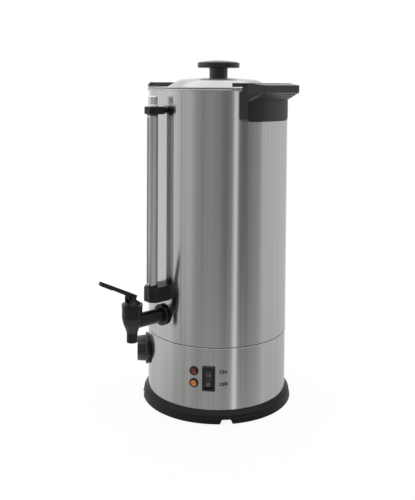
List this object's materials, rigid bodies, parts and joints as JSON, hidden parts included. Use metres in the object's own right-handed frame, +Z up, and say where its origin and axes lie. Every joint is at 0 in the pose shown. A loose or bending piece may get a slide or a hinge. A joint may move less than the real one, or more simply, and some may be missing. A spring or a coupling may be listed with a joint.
{
  "type": "hot water urn",
  "caption": "Upright steel hot water urn with a lift-off lid, two moulded side handles, a lever tap, a sight gauge and controls on its skirt.",
  "frame": {"origin": "on the urn's axis at table level", "axes": "+Z up, -Y towards the tap, handles towards +X and -X"},
  "size_m": [0.279, 0.3401, 0.535],
  "materials": {
    "brushed_steel": "brushed upright",
    "dull_steel": "mill finish",
    "bright_steel": "polished",
    "zinc_steel": "plated",
    "black_moulding": "fine grain",
    "black_gloss": "glossy",
    "base_black": "satin",
    "rubber": "matt",
    "seal_rubber": "matt",
    "brass": "turned",
    "gauge_glass": "clear",
    "red_lens": "glossy",
    "amber_lens": "glossy",
    "white_moulding": "matt"
  },
  "bodies": {
    "urn": {"outer_shell": "brushed_steel", "inner_tank": "dull_steel", "joint_ring": "dull_steel", "base_skirt": "brushed_steel", "base_ring": "base_black", "foot_pads": "rubber", "bottom_plate": "zinc_steel", "base_screws": "zinc_steel", "heat_shield": "zinc_steel", "heating_element": "dull_steel", "element_nuts": "brass", "element_seals": "seal_rubber", "boil_dry_cutout": "white_moulding", "handle_left": "black_moulding", "handle_right": "black_moulding", "handle_screws": "zinc_steel", "tap_body": "black_gloss", "tap_collar": "black_gloss", "tap_outer_gasket": "rubber", "tap_inner_gasket": "seal_rubber", "tap_nut": "brass", "tap_bonnet": "black_gloss", "lever_pin": "black_gloss", "gauge_bracket": "black_gloss", "gauge_block": "black_gloss", "gauge_rail": "black_gloss", "gauge_guard": "brushed_steel", "gauge_tube": "gauge_glass", "gauge_seals": "seal_rubber", "gauge_cap": "bright_steel", "gauge_pipe": "dull_steel", "gauge_washer": "seal_rubber", "gauge_nut": "brass", "thermostat_body": "white_moulding", "thermostat_nut": "zinc_steel", "switch_housing": "black_gloss", "lamp_holders": "black_gloss", "lamp_red": "red_lens", "lamp_amber": "amber_lens", "power_gland": "black_moulding", "gland_nut": "black_moulding", "terminal_block": "white_moulding"},
    "lid": {"lid": "brushed_steel", "lid_knob": "black_moulding", "lid_washer": "zinc_steel", "lid_screw": "zinc_steel"},
    "tap_lever": {"tap_lever": "black_gloss"},
    "valve": {"valve_stem": "bright_steel", "seat_cup": "seal_rubber", "tap_spring": "bright_steel"},
    "thermostat_dial": {"thermostat_knob": "black_moulding", "thermostat_shaft": "zinc_steel"},
    "rocker": {"switch_rocker": "black_gloss"}
  },
  "joints": [
    {"name": "lid_lift", "type": "slide", "parent": "urn", "child": "lid", "axis": [0, 0, 1], "range_m": [0, 0.12]},
    {"name": "lever_press", "type": "hinge", "parent": "urn", "child": "tap_lever", "pos_m": [0, -0.1717, 0.186], "axis": [1, 0, 0], "range_deg": [0, 25], "stiffness_Nm_per_rad": 0.15, "springref_deg": -34.38},
    {"name": "valve_lift", "type": "slide", "parent": "urn", "child": "valve", "axis": [0, 0, 1], "range_m": [0, 0.003], "deforming": ["tap_spring"]},
    {"name": "dial_turn", "type": "hinge", "parent": "urn", "child": "thermostat_dial", "pos_m": [-0.06281, -0.0897, 0.075], "axis": [-0.5736, -0.8192, 0], "range_deg": [-270, 0]},
    {"name": "rocker_tip", "type": "hinge", "parent": "urn", "child": "rocker", "pos_m": [0.07073, -0.07828, 0.065], "axis": [0.742, 0.6704, 0], "range_deg": [0, 22]}
  ],
  "couplings": [
    {"joint": "lever_press", "follows": "valve_lift", "rad_per_m": 145.44}
  ]
}
